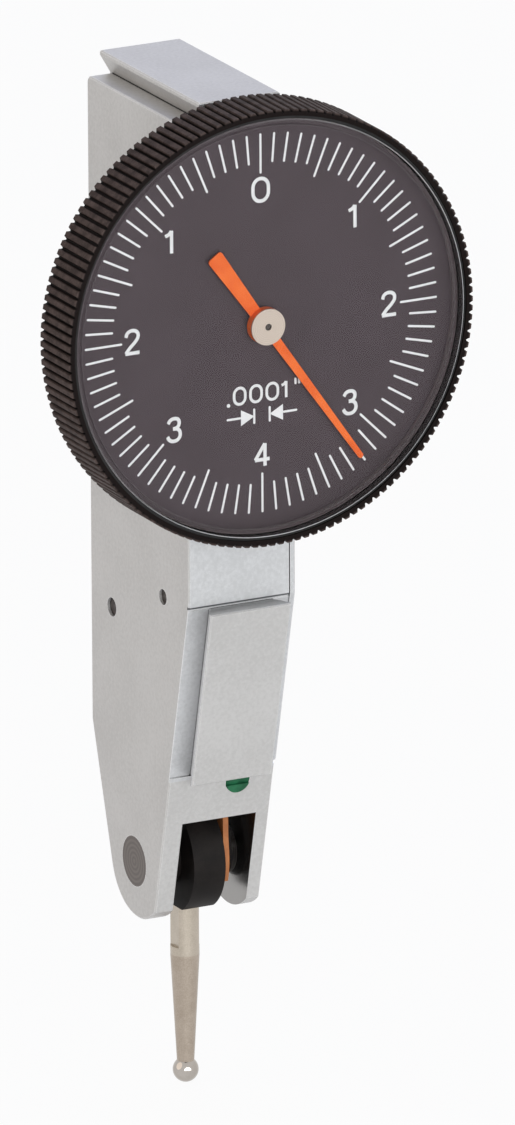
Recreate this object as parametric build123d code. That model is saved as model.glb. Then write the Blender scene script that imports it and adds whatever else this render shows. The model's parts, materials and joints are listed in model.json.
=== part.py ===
from build123d import *
import os
from math import acos, atan2, cos, hypot, pi, radians, sin, sqrt, tan

# Frame: origin at the middle of the top dovetail's land, +Z up, the dial faces -Y, +X to the right

# Body, in millimetres
body_width = 10.08
body_depth = 18.48
dovetail_width = 7.6
dovetail_height = 2.03
dovetail_lip = 0.4
dovetail_flank = 60
front_bend_drop = 44.25
front_slant = 13.3
back_bend_drop = 59.0
pivot_drop = 69.6
pivot_inset = 10.66
end_radius = 4.9
end_forward = 0.47
front_dovetail_height = 1.7
front_dovetail_length = 16.58
front_dovetail_start = 0.3
rear_dovetail_length = 16.4
rear_dovetail_start = 1.5
channel_relief = 0.15
edge_break = 0.12
corner_round = 0.6
bend_groove = 0.25
cover_seam = 0.12

# Hollow for the movement and the cover that closes it
left_wall = 1.5
front_wall = 1.6
back_wall = 1.6
top_block = 5.8
lower_block = 4.6
cover_thickness = 0.5
cover_drop = 60.1
ear_step = 0.2
cover_screw_inset_top = 2.9
cover_screw_inset_low = 2.4
cover_screw_inset_front = 3.24
cover_screw_inset_back = 2.64
cover_screw_inset_slant = 3.66

# Fork at the bottom
left_ear = 1.7
right_ear = 1.4
slot_rise = 4.66
bearing_radius = 2.2
bearing_skin = 0.5
pin_radius = 0.8

# Contact point
hub_ear_room = 1.56
hub_radius = 4.85
hub_flat_drop = 4.18
hub_boss_radius = 2.4
stem_radius = 1.25
stem_length = 4.9
stem_flat_depth = 0.28
stem_flat_length = 4.0
shank_radius = 0.8
shank_length = 1.9
contact_length = 19.37
tip_radius = 0.7
ball_radius = 1.12

# Lever and its friction leaf
lever_ear_gap = 0.64
leaf_room = 0.88
lever_thickness = 0.9
lever_boss_radius = 2.6
lever_tip_radius = 1.1
leaf_thickness = 0.5
leaf_width = 9.0
leaf_drop = 1.6
leaf_shoulder = 3.2
leaf_shoulder_rise = 4.0
leaf_corner = 0.3
leaf_rise = 7.6
leaf_bend_rise = 3.6
leaf_bow = 0.3
rivet_radius = 0.45
rivet_head_radius = 0.8
rivet_head = 0.3

# Movement
module_share = 0.01309
tooth_fill = 0.40
addendum_share = 0.8
dedendum_share = 1.2
tooth_tip_share = 0.55
tooth_root_share = 1.35
sector_pivot_inset = 3.94
sector_pivot_drop = 48.03
sector_teeth_ahead = 5
sector_teeth_behind = 2
sector_thickness = 0.8
sector_boss_radius = 1.9
sector_arm_radius = 1.0
sector_rim = 2.0
sector_inset = 1.84
drive_arm = 3.37
drive_pin_radius = 0.4
crown_pinion_teeth = 10
crown_teeth = 54
crown_disc_thickness = 0.6
crown_face = 1.2
crown_hub_radius = 1.2
crown_hub_length = 0.8
centre_pinion_teeth = 14
pinion_face = 1.2
arbor_radius = 0.5
sector_arbor_radius = 0.8
centre_arbor_radius = 0.6
bridge_cover_gap = 0.44
bridge_thickness = 0.9
bridge_margin = 1.9
pillar_radius = 1.3
upper_pillar_drop = 12.5
lower_pillar_drop = 31.0
locating_pin_inset = 4.9
pin_sunk = 0.25
locating_pin_drop = 44.5
locating_pin_radius = 0.68
jewel_radius = 1.0
jewel_thickness = 0.5
centre_bridge_thickness = 0.8
centre_bridge_half_height = 1.4
collet_radius = 1.05
spring_height = 0.5
spring_clear = 0.84
spring_thickness = 0.12
spring_pitch = 0.6
spring_half_turns = 5
stud_radius = 0.28

# Dial, bezel and hand
dial_drop = 18.75
bezel_radius = 19.05
bezel_depth = 5.29
bezel_gap = 0.43
bezel_wall = 2.15
serrations = 148
serration_depth = 0.3
ridge_top_share = 0.52
ridge_root_share = 0.88
rim_wall = 0.59
gasket_width = 0.25
gasket_sunk = 0.2
crystal_ledge = 0.2
crystal_seat_depth = 0.9
crystal_proud = 0.06
crystal_thickness = 0.5
crystal_rim_width = 0.6
crystal_bevel = 0.12
dial_setback = 1.9
dial_thickness = 0.4
dial_hole = 1.0
base_clearance = 0.4
base_screw_across = 2.6
base_screw_rise = 9.5
bush_radius = 1.7
wire_radius = 0.3
wire_setback = 1.0
wire_sunk = 0.09
base_groove_depth = 0.45
base_groove_width = 0.66
bezel_groove_width = 0.9
wire_gap_angle = 30
hand_angle = 144.65
hand_tip_margin = 2.14
hand_tail = 8.1
hand_tip_width = 0.48
hand_root_width = 0.88
hand_neck_width = 0.95
hand_tail_width = 1.5
hand_tail_corner = 0.3
hand_thickness = 0.15
hand_lift = 0.45
hand_hub_radius = 1.58
hand_hub_height = 0.73
hand_disc = 0.14
hand_hub_hole = 0.3

# Screws
small_head_radius = 1.1
small_head_height = 0.4
small_shank_radius = 0.6
small_shank_length = 1.1
cover_head_height = 0.35
seal_head_radius = 1.13
seal_head_height = 0.6
seal_proud = 0.12
seal_shank_radius = 0.7
seal_shank_length = 1.2
seal_offset = 1.52
seal_slot_width = 0.7
slot_width = 0.26
slot_depth = 0.22

# Clearances
seat_gap = 0.01
running_gap = 0.03
bezel_run = 0.12
hub_run = 0.4
side_gap = 0.3
lever_room = 0.5

# Places worked out from the sizes above
left = -body_width / 2
right = body_width / 2
front = -body_depth / 2
back = body_depth / 2
body_top = -dovetail_height
front_bend = -front_bend_drop
pivot = (front + pivot_inset, -pivot_drop)
end_centre = (pivot[0] - end_forward, pivot[1])
slant = radians(front_slant)
cover_seat = right - cover_thickness
cover_low = -cover_drop
cavity_left = left + left_wall
cavity_top = body_top - top_block
cavity_low = cover_low + lower_block
fork_left = left + left_ear
fork_right = right - right_ear
ear_right = right - ear_step
lever_right = fork_right - lever_ear_gap
lever_left = lever_right - lever_thickness
hub_left = fork_left + hub_ear_room
hub_right = lever_left - leaf_room
contact_offset = (hub_left + hub_right) / 2
ball_centre = (contact_offset, pivot[0], pivot[1] - contact_length)
dial_height = -dial_drop
bezel_rear = front - bezel_gap
bezel_front = bezel_rear - bezel_depth
dial_front = bezel_front + dial_setback
dial_back = dial_front + dial_thickness
base_front = dial_back + base_clearance
bezel_bore = bezel_radius - bezel_wall
seat_radius = bezel_radius - rim_wall
crystal_radius = seat_radius - gasket_width - seat_gap
dial_bore = crystal_radius - crystal_ledge
dial_radius = dial_bore - seat_gap
hand_length = dial_radius - hand_tip_margin
base_radius = bezel_bore - bezel_run
crystal_back = bezel_front + crystal_seat_depth
crystal_front = bezel_front - crystal_proud
wire_place = bezel_rear - wire_setback
hand_back = dial_front - hand_lift
hand_front = hand_back - hand_thickness
hub_front = hand_front - hand_hub_height
disc_back = hub_front + hand_disc
upper_pillar = (back - back_wall - bridge_margin - side_gap, -upper_pillar_drop)
lower_pillar = (front + front_wall + bridge_margin + side_gap, -lower_pillar_drop)
locating_pin_place = (front + locating_pin_inset, -locating_pin_drop)
sector_pivot = (back - sector_pivot_inset, -sector_pivot_drop)
drive_pin_place = (sector_pivot[0], sector_pivot[1] - drive_arm)
gear_module = module_share * (body_depth - front_wall - back_wall)
tooth_addendum = addendum_share * gear_module
tooth_dedendum = dedendum_share * gear_module
crown_pinion_radius = gear_module * crown_pinion_teeth / 2
crown_radius = gear_module * crown_teeth / 2
centre_pinion_radius = gear_module * centre_pinion_teeth / 2
spring_front = front + front_wall + side_gap
mesh_place = spring_front + spring_height + spring_clear + pinion_face / 2
crown_axis = (mesh_place + crown_radius, dial_height)
crown_rise = crown_axis[1] - sector_pivot[1]
sector_radius = hypot(crown_axis[0] - sector_pivot[0], crown_rise) - crown_pinion_radius
sector_pitch = pi * gear_module / sector_radius
mesh_angle = atan2(crown_rise, crown_axis[0] - sector_pivot[0])
crown_disc_left = centre_pinion_radius + tooth_dedendum
sector_plane = cavity_left + sector_inset
sector_left = sector_plane - sector_thickness / 2
pinion_back = mesh_place + pinion_face / 2
centre_bridge_front = pinion_back + side_gap
bridge_right = cover_seat - bridge_cover_gap
bridge_left = bridge_right - bridge_thickness


def slab(sketch, x_start, x_end):
    # A side outline, drawn in Y and Z, given its thickness along X
    return extrude(Plane.YZ.offset(x_start) * sketch, amount=x_end - x_start)


def rod_x(radius, x_start, x_end, place):
    return slab(Pos(*place) * Circle(radius), x_start, x_end)


def rod_y(radius, y_front, y_back, x=0, z=dial_height):
    return extrude(Plane.XZ.offset(-y_back) * Pos(x, z) * Circle(radius), amount=y_back - y_front)


def turned(outline):
    # A radius and Y outline turned about the dial's axis
    return revolve(Pos(0, 0, dial_height) * outline, Axis((0, 0, dial_height), (0, 1, 0)))


def ring(inner, outer, y_front, y_back):
    middle = Pos((inner + outer) / 2, (y_front + y_back) / 2)
    return turned(middle * Rectangle(outer - inner, y_back - y_front))


def hull(*rounds):
    # Straight-sided link round any number of places, each with its own radius
    edges = [(Pos(*place) * Circle(radius)).edge() for place, radius in rounds]
    return make_hull(edges)


def front_face_at(height):
    return front + (front_bend - height) * tan(slant)


def box(x_range, y_range, z_range):
    middle = [(low + high) / 2 for low, high in (x_range, y_range, z_range)]
    size = [high - low for low, high in (x_range, y_range, z_range)]
    return Pos(*middle) * Box(*size)


def screw(head_radius, head_height, shank, shank_length, slot_across=slot_width):
    # Slotted cheese-head screw, head top at the local origin, pointing down
    head = Pos(0, 0, -head_height / 2) * Cylinder(head_radius, head_height)
    thread = Pos(0, 0, -head_height - shank_length / 2) * Cylinder(shank, shank_length)
    slot = Pos(0, 0, -slot_depth / 2) * Box(3 * head_radius, slot_across, slot_depth)
    return head + thread - slot


def screw_hole(head_radius, head_height, shank, shank_length):
    head = Pos(0, 0, -head_height / 2) * Cylinder(head_radius + seat_gap, head_height)
    depth = shank_length + side_gap
    thread = Pos(0, 0, -head_height - depth / 2) * Cylinder(shank + seat_gap, depth)
    return head + thread


def pinion_outline(teeth, phase):
    # Trimmed straight-flanked teeth round a small pinion
    radius = gear_module * teeth / 2
    pitch = 2 * pi / teeth
    half_tooth = tooth_fill * pitch / 2
    points = []
    for tooth in range(teeth):
        middle = phase + tooth * pitch
        for turn, reach in ((-tooth_root_share, -tooth_dedendum), (-tooth_tip_share, tooth_addendum),
                            (tooth_tip_share, tooth_addendum), (tooth_root_share, -tooth_dedendum)):
            angle = middle + turn * half_tooth
            points.append(((radius + reach) * cos(angle), (radius + reach) * sin(angle)))
    return make_face(Polyline(*points, close=True))


# Housing: outline with a rounded end, dovetails, hollow, fork and bores
def front_foot():
    # Where the slanted front face runs into the rounded end
    away = (end_centre[0] - front) * cos(slant) - (front_bend - end_centre[1]) * sin(slant)
    along = sqrt(end_radius ** 2 - away ** 2)
    return (end_centre[0] - away * cos(slant) + along * sin(slant),
            end_centre[1] - away * sin(slant) - along * cos(slant))


def back_tangent():
    reach_y = back - end_centre[0]
    reach_z = -back_bend_drop - end_centre[1]
    angle = atan2(reach_z, reach_y) - acos(end_radius / hypot(reach_y, reach_z))
    return (end_centre[0] + end_radius * cos(angle), end_centre[1] + end_radius * sin(angle))


def body_outline():
    foot = front_foot()
    heel = back_tangent()
    forward = Polyline(foot, (front, front_bend), (front, body_top), (back - corner_round, body_top))
    inset = corner_round * (1 - sqrt(0.5))
    corner = ThreePointArc((back - corner_round, body_top), (back - inset, body_top - inset),
                           (back, body_top - corner_round))
    rear = Polyline((back, body_top - corner_round), (back, -back_bend_drop), heel)
    end = ThreePointArc(heel, (end_centre[0], end_centre[1] - end_radius), foot)
    return make_face([*forward.edges(), corner, *rear.edges(), end])


def dovetail_outline(height, root):
    # The neck goes down by a root, into the body
    shoulder = height - dovetail_lip
    neck = dovetail_width / 2 - shoulder / tan(radians(dovetail_flank))
    half = dovetail_width / 2
    outline = make_face(Polyline((-neck, 0), (neck, 0), (half, shoulder), (half, height),
                                 (-half, height), (-half, shoulder), close=True))
    return outline + Pos(0, -root / 2) * Rectangle(2 * neck, root)


def land_broken(rail, outward):
    # Breaks the edges round the outermost face of a dovetail
    land = rail.faces().sort_by(Axis((0, 0, 0), outward))[-1]
    return chamfer(land.edges(), edge_break)


def front_dovetail():
    # Square at its lower end, cut level at its top end just under the bend
    length = front_bend_drop + front_dovetail_length
    section = dovetail_outline(front_dovetail_height, channel_relief)
    rail = extrude(slanted_plane(front_dovetail_length) * section, amount=length)
    top = front_bend - front_dovetail_start
    rail &= box((left, right), (2 * front, back), (-back_bend_drop - dovetail_height, top))
    return land_broken(rail, (0, -cos(slant), -sin(slant)))


def slanted_plane(distance):
    # Plane across the slanted front face, its local Y pointing out of the face
    origin = (0, front + distance * sin(slant), front_bend - distance * cos(slant))
    return Plane(origin, x_dir=(-1, 0, 0), z_dir=(0, -sin(slant), cos(slant)))


def cavity_outline():
    slanted_wall = front_wall / cos(slant)
    return make_face(Polyline((front + front_wall, cavity_top), (back - back_wall, cavity_top),
                              (back - back_wall, cavity_low),
                              (front_face_at(cavity_low) + slanted_wall, cavity_low),
                              (front + front_wall, front_bend), close=True))


def cover_screw_places():
    top = body_top - cover_screw_inset_top
    low = cover_low + cover_screw_inset_low
    rear = back - cover_screw_inset_back
    return [(front + cover_screw_inset_front, top), (rear, top),
            (front_face_at(low) + cover_screw_inset_slant, low), (rear, low)]


def base_screw_places():
    return [(across, dial_height + rise) for across in (-base_screw_across, base_screw_across)
            for rise in (-base_screw_rise, base_screw_rise)]


def seal_plane():
    distance = front_dovetail_length + seal_head_radius + running_gap
    outward = (0, -cos(slant), -sin(slant))
    origin = (seal_offset, front + distance * sin(slant), front_bend - distance * cos(slant))
    return Plane(origin, x_dir=(1, 0, 0), z_dir=outward).offset(seal_proud)


seal_sizes = (seal_head_radius, seal_head_height, seal_shank_radius, seal_shank_length)
small_sizes = (small_head_radius, small_head_height, small_shank_radius, small_shank_length)
cover_sizes = (small_head_radius, cover_head_height, small_shank_radius, small_shank_length)
base_sizes = (small_head_radius, small_head_height, small_shank_radius,
              front + front_wall - base_front - small_head_height)


def facing_right(x, place):
    return Plane((x, place[0], place[1]), x_dir=(0, 1, 0), z_dir=(1, 0, 0))


def facing_front(y, place):
    return Plane((place[0], y, place[1]), x_dir=(1, 0, 0), z_dir=(0, -1, 0))


def housing():
    body = slab(body_outline(), left, right)
    body = chamfer(body.faces().sort_by(Axis.X)[0].edges(), edge_break)
    channel = slanted_plane(front_dovetail_length) * Rectangle(2 * body_width, 2 * channel_relief)
    body -= extrude(channel, amount=front_dovetail_length)
    body -= box((left, right), (front, front + bend_groove), (front_bend - bend_groove, front_bend))
    section = dovetail_outline(dovetail_height, corner_round)
    top_rail = extrude(Plane.XZ.offset(-back) * Pos(0, body_top) * section, amount=body_depth)
    body += land_broken(top_rail, (0, 0, 1))
    rear_low = body_top - rear_dovetail_start - rear_dovetail_length
    rear_rail = extrude(Plane((0, back, rear_low)) * section, amount=rear_dovetail_length)
    body += land_broken(rear_rail, (0, 1, 0))
    body += front_dovetail()
    # Seat of the side cover with a fine seam, and the ear set back below it
    seam = (cover_seat - cover_seam, cover_seat)
    body -= box(seam, (front, front + cover_seam), (front_bend, body_top))
    body -= box((cover_seat, right), (front, back), (cover_low, body_top))
    lowest = end_centre[1] - end_radius
    body -= box((ear_right, right), (front, back), (lowest, cover_low))
    # Hollow with the pillars of the movement bridge
    body -= slab(cavity_outline(), cavity_left, cover_seat)
    for place in (upper_pillar, lower_pillar):
        body += rod_x(pillar_radius, cavity_left, bridge_left, place)
    # Fork slot, round where the hub turns, and the lever's way up from it
    body -= box((fork_left, fork_right), (front, back), (lowest, pivot[1] + slot_rise))
    body -= rod_x(hub_radius + hub_run, fork_left, fork_right, pivot)
    way = hull((pivot, lever_boss_radius + lever_room), (drive_pin_place, lever_tip_radius + lever_room))
    body -= slab(way, hub_right, lever_right + side_gap)
    # Bores for pins, bearings, bush and screws
    for x_start, x_end in ((left, fork_left), (fork_right, ear_right)):
        body -= rod_x(bearing_radius + seat_gap, x_start, x_end, pivot)
    body -= rod_x(sector_arbor_radius + running_gap, left, cavity_left, sector_pivot)
    body -= rod_x(locating_pin_radius + seat_gap, left, cavity_left, locating_pin_place)
    body -= rod_x(jewel_radius + seat_gap, cavity_left - jewel_thickness, cavity_left, crown_axis)
    body -= rod_y(bush_radius + seat_gap, front, front + front_wall)
    for place in cover_screw_places():
        body -= facing_right(right, place) * screw_hole(*cover_sizes)
    for place in base_screw_places():
        body -= facing_front(base_front, place) * screw_hole(*base_sizes)
    for place in (upper_pillar, lower_pillar):
        body -= facing_right(bridge_right, place) * screw_hole(*small_sizes)
    body -= seal_plane() * screw_hole(*seal_sizes)
    return body


def side_cover():
    plate = slab(body_outline(), cover_seat, right)
    plate &= box((cover_seat, right), (front, back), (cover_low + seat_gap, body_top))
    plate = chamfer(plate.faces().sort_by(Axis.X)[-1].edges(), edge_break)
    for place in cover_screw_places():
        plate -= facing_right(right, place) * screw_hole(*cover_sizes)
    return plate


def cover_screws():
    return [facing_right(right, place) * screw(*cover_sizes) for place in cover_screw_places()]


def sealing_screw():
    return seal_plane() * screw(*seal_sizes, seal_slot_width)


# Contact pivot
def pivot_bearings():
    bearings = []
    for x_start, x_end, inner in ((left, fork_left, left + bearing_skin),
                                  (fork_right, ear_right, ear_right - bearing_skin)):
        bore_start, bore_end = sorted((inner, x_end if x_start == left else x_start))
        plug = rod_x(bearing_radius, x_start, x_end, pivot)
        bearings.append(plug - rod_x(pin_radius + seat_gap, bore_start, bore_end, pivot))
    return bearings


def pivot_pin():
    return rod_x(pin_radius, left + bearing_skin, ear_right - bearing_skin, pivot)


def contact_hub():
    disc = rod_x(hub_radius, hub_left, hub_right, pivot)
    low = pivot[1] - hub_flat_drop
    disc &= box((hub_left, hub_right), (front, back), (low, pivot[1] + hub_radius))
    disc += rod_x(hub_boss_radius, fork_left + side_gap, hub_left, pivot)
    disc -= rod_x(pin_radius + running_gap, fork_left, hub_right, pivot)
    socket = Pos(contact_offset, pivot[0], low + shank_length / 2)
    return disc - socket * Cylinder(shank_radius + seat_gap, shank_length + 2 * seat_gap)


def contact_ball():
    return Pos(*ball_centre) * Sphere(ball_radius)


def contact_stem():
    top = -hub_flat_drop
    shoulder = top - stem_length
    outline = make_face(Polyline((0, top + shank_length), (shank_radius, top + shank_length),
                                 (shank_radius, top), (stem_radius, top), (stem_radius, shoulder),
                                 (tip_radius, -contact_length), (0, -contact_length), close=True))
    stem = revolve(Plane.XZ * outline, Axis.Z)
    for side in (-1, 1):
        flat = stem_radius - stem_flat_depth / 2
        size = Box(stem_flat_depth, 2 * stem_radius, stem_flat_length)
        stem -= Pos(side * flat, 0, top - stem_flat_length / 2) * size
    return Pos(contact_offset, *pivot) * stem - contact_ball()


# Lever that carries the contact hub by friction
def lever():
    plate = slab(hull((pivot, lever_boss_radius), (drive_pin_place, lever_tip_radius)),
                 lever_left, lever_right)
    plate -= rod_x(pin_radius + running_gap, lever_left, lever_right, pivot)
    plate -= rod_x(drive_pin_radius + seat_gap, lever_left, lever_right, drive_pin_place)
    return plate - rod_x(rivet_radius + seat_gap, lever_left, lever_right, rivet_place())


def rivet_place():
    # On the lever's centre line, inside the leaf's straight top
    reach = (leaf_bend_rise + leaf_rise) / 2
    share = reach / (drive_pin_place[1] - pivot[1])
    return (pivot[0] + share * (drive_pin_place[0] - pivot[0]), pivot[1] + reach)


def drive_pin():
    return rod_x(drive_pin_radius, sector_left - side_gap, lever_right, drive_pin_place)


def friction_leaf():
    # Strip riveted flat to the lever at its top and bowed over to press on the hub
    inner = hub_right + running_gap
    outer = lever_left - leaf_thickness
    top = pivot[1] + leaf_rise
    bend = pivot[1] + leaf_bend_rise
    low = pivot[1] - leaf_drop
    middle = (pivot[1] + bend) / 2
    bow = (inner + leaf_bow * (outer - inner), middle)
    near = Polyline((outer, top), (outer, bend)).edges() + [ThreePointArc((outer, bend), bow, (inner, low))]
    far = [Pos(leaf_thickness, 0) * edge for edge in near]
    ends = [Line((outer, top), (outer + leaf_thickness, top)),
            Line((inner, low), (inner + leaf_thickness, low))]
    strip = extrude(Plane.XZ.offset(-back) * make_face([*near, *far, *ends]), amount=body_depth)
    tab = hull((rivet_place(), rivet_head_radius + leaf_thickness), (pivot, lever_boss_radius))
    shoulder = pivot[1] + leaf_shoulder_rise
    tab += hull((pivot, leaf_width / 2), ((pivot[0] - leaf_shoulder, shoulder), leaf_corner),
                ((pivot[0] + leaf_shoulder, shoulder), leaf_corner))
    leaf = strip & slab(tab, inner, lever_left)
    leaf -= rod_x(pin_radius + running_gap, inner, lever_left, pivot)
    return leaf - rod_x(rivet_radius + seat_gap, inner, lever_left, rivet_place())


def leaf_rivet():
    leaf_face = lever_left - leaf_thickness
    head = rod_x(rivet_head_radius, leaf_face - rivet_head, leaf_face, rivet_place())
    return head + rod_x(rivet_radius, leaf_face, lever_right, rivet_place())


# Sector, crown wheel and centre pinion
def sector():
    pitch = sector_pitch
    root = sector_radius - tooth_dedendum
    first = mesh_angle - (sector_teeth_behind + 0.5) * pitch
    last = mesh_angle + (sector_teeth_ahead + 0.5) * pitch
    wide = sector_radius / cos((last - first) / 2)
    wedge = make_face(Polyline((0, 0), (wide * cos(first), wide * sin(first)),
                               (wide * cos(last), wide * sin(last)), close=True))
    plate = (Circle(root) - Circle(root - sector_rim)) & wedge
    half_tooth = tooth_fill * pitch / 2
    tooth_sunk = tooth_dedendum + tooth_addendum
    for tooth in range(-sector_teeth_behind, sector_teeth_ahead + 1):
        middle = mesh_angle + tooth * pitch
        flank = []
        for turn, reach in ((-tooth_root_share, -tooth_sunk), (-tooth_tip_share, tooth_addendum),
                            (tooth_tip_share, tooth_addendum), (tooth_root_share, -tooth_sunk)):
            angle = middle + turn * half_tooth
            flank.append(((sector_radius + reach) * cos(angle), (sector_radius + reach) * sin(angle)))
        plate += make_face(Polyline(*flank, close=True))
    arm_end = root - sector_rim / 2
    centre = (first + last) / 2
    plate += hull(((0, 0), sector_boss_radius),
                  ((arm_end * cos(centre), arm_end * sin(centre)), sector_arm_radius))
    plate += hull(((0, 0), sector_boss_radius), ((0, -drive_arm), 3 * drive_pin_radius))
    plate -= Circle(sector_arbor_radius + seat_gap)
    slot = SlotOverall(4 * drive_pin_radius, 2 * (drive_pin_radius + 2 * running_gap), rotation=90)
    plate -= Pos(0, -drive_arm) * slot
    return slab(Pos(*sector_pivot) * plate, sector_left, sector_left + sector_thickness)


def sector_arbor():
    return rod_x(sector_arbor_radius, left + pin_sunk, bridge_right, sector_pivot)


def crown_arbor():
    toward_sector = mesh_angle + pi + pi / crown_pinion_teeth
    leaves = Pos(*crown_axis) * pinion_outline(crown_pinion_teeth, toward_sector)
    half_face = sector_thickness / 2 + running_gap
    pinion = slab(leaves, sector_plane - half_face, sector_plane + half_face)
    return pinion + rod_x(arbor_radius, cavity_left, bridge_right, crown_axis)


def crown_wheel():
    # Face gear: radial teeth standing on the side of a disc
    disc_right = crown_disc_left + crown_disc_thickness
    outer = crown_radius + crown_face / 2
    wheel = rod_x(outer, crown_disc_left, disc_right, (0, 0))
    wheel += rod_x(crown_hub_radius, crown_disc_left - crown_hub_length, crown_disc_left, (0, 0))
    wheel -= rod_x(arbor_radius + seat_gap, crown_disc_left - crown_hub_length, disc_right, (0, 0))
    pitch = 2 * pi * crown_radius / crown_teeth
    root_half = tooth_root_share * tooth_fill * pitch / 2
    tip_half = tooth_tip_share * tooth_fill * pitch / 2
    tip = centre_pinion_radius - tooth_addendum
    side = make_face(Polyline((crown_disc_left, -root_half), (tip, -tip_half), (tip, tip_half),
                              (crown_disc_left, root_half), close=True))
    inner = crown_radius - crown_face / 2
    tooth = extrude(Plane.XZ.offset(outer) * side, amount=inner - outer)
    step = 360 / crown_teeth
    wheel += [Rot(step * number, 0, 0) * tooth for number in range(crown_teeth)]
    return Pos(0, *crown_axis) * wheel


def centre_pinion():
    # Teeth leave a gap toward the crown wheel, on the right
    leaves = Pos(0, dial_height) * pinion_outline(centre_pinion_teeth, pi / centre_pinion_teeth)
    pinion = extrude(Plane.XZ.offset(-pinion_back) * leaves, amount=pinion_face)
    arbor_back = centre_bridge_front + centre_bridge_thickness
    return pinion + rod_y(centre_arbor_radius, disc_back, arbor_back)


# Movement bridge and bearings
def movement_bridge():
    plate = slab(hull((upper_pillar, bridge_margin), (lower_pillar, bridge_margin),
                      (locating_pin_place, bridge_margin), (sector_pivot, bridge_margin),
                      (crown_axis, bridge_margin)), bridge_left, bridge_right)
    plate -= rod_x(sector_arbor_radius + running_gap, bridge_left, bridge_right, sector_pivot)
    plate -= rod_x(jewel_radius + seat_gap, bridge_left, bridge_right, crown_axis)
    plate -= rod_x(locating_pin_radius + seat_gap, bridge_left, bridge_right, locating_pin_place)
    for place in (upper_pillar, lower_pillar):
        plate -= facing_right(bridge_right, place) * screw_hole(*small_sizes)
    return plate


def bridge_screws():
    return [facing_right(bridge_right, place) * screw(*small_sizes)
            for place in (upper_pillar, lower_pillar)]


def locating_pin():
    return rod_x(locating_pin_radius, left + pin_sunk, bridge_right, locating_pin_place)


def pivot_jewels():
    seats = [(cavity_left - jewel_thickness, cavity_left), (bridge_left, bridge_right)]
    jewels = []
    for x_start, x_end in seats:
        jewel = rod_x(jewel_radius, x_start, x_end, crown_axis)
        hole_start = max(x_start, cavity_left - jewel_thickness / 2)
        jewels.append(jewel - rod_x(arbor_radius + running_gap, hole_start, x_end, crown_axis))
    return jewels


def centre_bridge():
    # Bracket on the left wall that carries the back end of the centre arbor
    bracket_back = centre_bridge_front + centre_bridge_thickness
    x_end = centre_arbor_radius + 2 * running_gap + jewel_thickness / 2
    bracket = box((cavity_left, x_end), (centre_bridge_front, bracket_back),
                  (dial_height - centre_bridge_half_height, dial_height + centre_bridge_half_height))
    return bracket - rod_y(centre_arbor_radius + running_gap, centre_bridge_front, bracket_back)


def hairspring_collet():
    return (rod_y(collet_radius, spring_front, spring_front + spring_height)
            - rod_y(centre_arbor_radius + seat_gap, spring_front, spring_front + spring_height))


def spiral_end(step):
    return collet_radius + spring_thickness + step * spring_pitch / 2


def spiral(offset):
    # Half circles about two centres, each wider than the last
    arcs = []
    for step in range(spring_half_turns):
        side = 2 * (step % 2) - 1
        start = side * (spiral_end(step) + offset)
        end = -side * (spiral_end(step + 1) + offset)
        crest = ((start + end) / 2, side * abs(start - end) / 2)
        arcs.append(ThreePointArc((start, 0), crest, (end, 0)))
    return arcs


def hairspring():
    half = spring_thickness / 2
    inner = spiral(-half)
    outer = spiral(half)
    ends = [Line(inner[0] @ 0, outer[0] @ 0), Line(inner[-1] @ 1, outer[-1] @ 1)]
    strip = Pos(0, dial_height) * make_face([*inner, *outer, *ends])
    return extrude(Plane.XZ.offset(-spring_front - spring_height) * strip, amount=spring_height)


def hairspring_stud():
    side = 2 * (spring_half_turns % 2) - 1
    x = side * (spiral_end(spring_half_turns) + spring_thickness / 2)
    stud = rod_y(stud_radius, front + front_wall, spring_front + spring_height, x=x)
    return stud - hairspring()


# Dial side
def centre_bush():
    bush = rod_y(bush_radius, base_front, front + front_wall)
    return bush - rod_y(centre_arbor_radius + running_gap, base_front, front + front_wall)


def dial_base():
    base = rod_y(base_radius, base_front, front)
    base -= ring(base_radius - base_groove_depth, base_radius, wire_place - base_groove_width / 2,
                 wire_place + base_groove_width / 2)
    base -= rod_y(bush_radius + seat_gap, base_front, front)
    for place in base_screw_places():
        base -= facing_front(base_front, place) * screw_hole(*base_sizes)
    return base


def base_screws():
    return [facing_front(base_front, place) * screw(*base_sizes) for place in base_screw_places()]


def retaining_wire():
    wire = Pos(base_radius - wire_sunk, wire_place) * Circle(wire_radius)
    axis = Axis((0, 0, dial_height), (0, 1, 0))
    return revolve(Pos(0, 0, dial_height) * wire, axis, 360 - wire_gap_angle)


def serrated_outline():
    # Flat-topped ridges with sloping flanks, all along the band
    pitch = 2 * pi / serrations
    root = bezel_radius - serration_depth
    points = []
    for ridge in range(serrations):
        for share, radius in ((-ridge_root_share, root), (-ridge_top_share, bezel_radius),
                              (ridge_top_share, bezel_radius), (ridge_root_share, root)):
            angle = (ridge + share / 2) * pitch
            points.append((radius * sin(angle), radius * cos(angle)))
    return make_face(Polyline(*points, close=True))


def bezel():
    band = Pos(0, dial_height) * serrated_outline()
    body = extrude(Plane.XZ.offset(-bezel_rear) * band, amount=bezel_depth)
    body -= rod_y(seat_radius, bezel_front, crystal_back)
    body -= rod_y(dial_bore, crystal_back, dial_back)
    body -= rod_y(bezel_bore, dial_back, bezel_rear)
    groove_radius = base_radius + wire_radius + bezel_run
    return body - ring(bezel_bore, groove_radius, wire_place - bezel_groove_width / 2,
                       wire_place + bezel_groove_width / 2)


def crystal():
    # Flat window with a deeper rim and a bevelled front edge
    inside = crystal_radius - crystal_rim_width
    middle = crystal_front + crystal_thickness
    return turned(make_face(Polyline((0, crystal_front), (crystal_radius - crystal_bevel, crystal_front),
                                     (crystal_radius, crystal_front + crystal_bevel),
                                     (crystal_radius, crystal_back), (inside, crystal_back),
                                     (inside, middle), (0, middle), close=True)))


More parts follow.
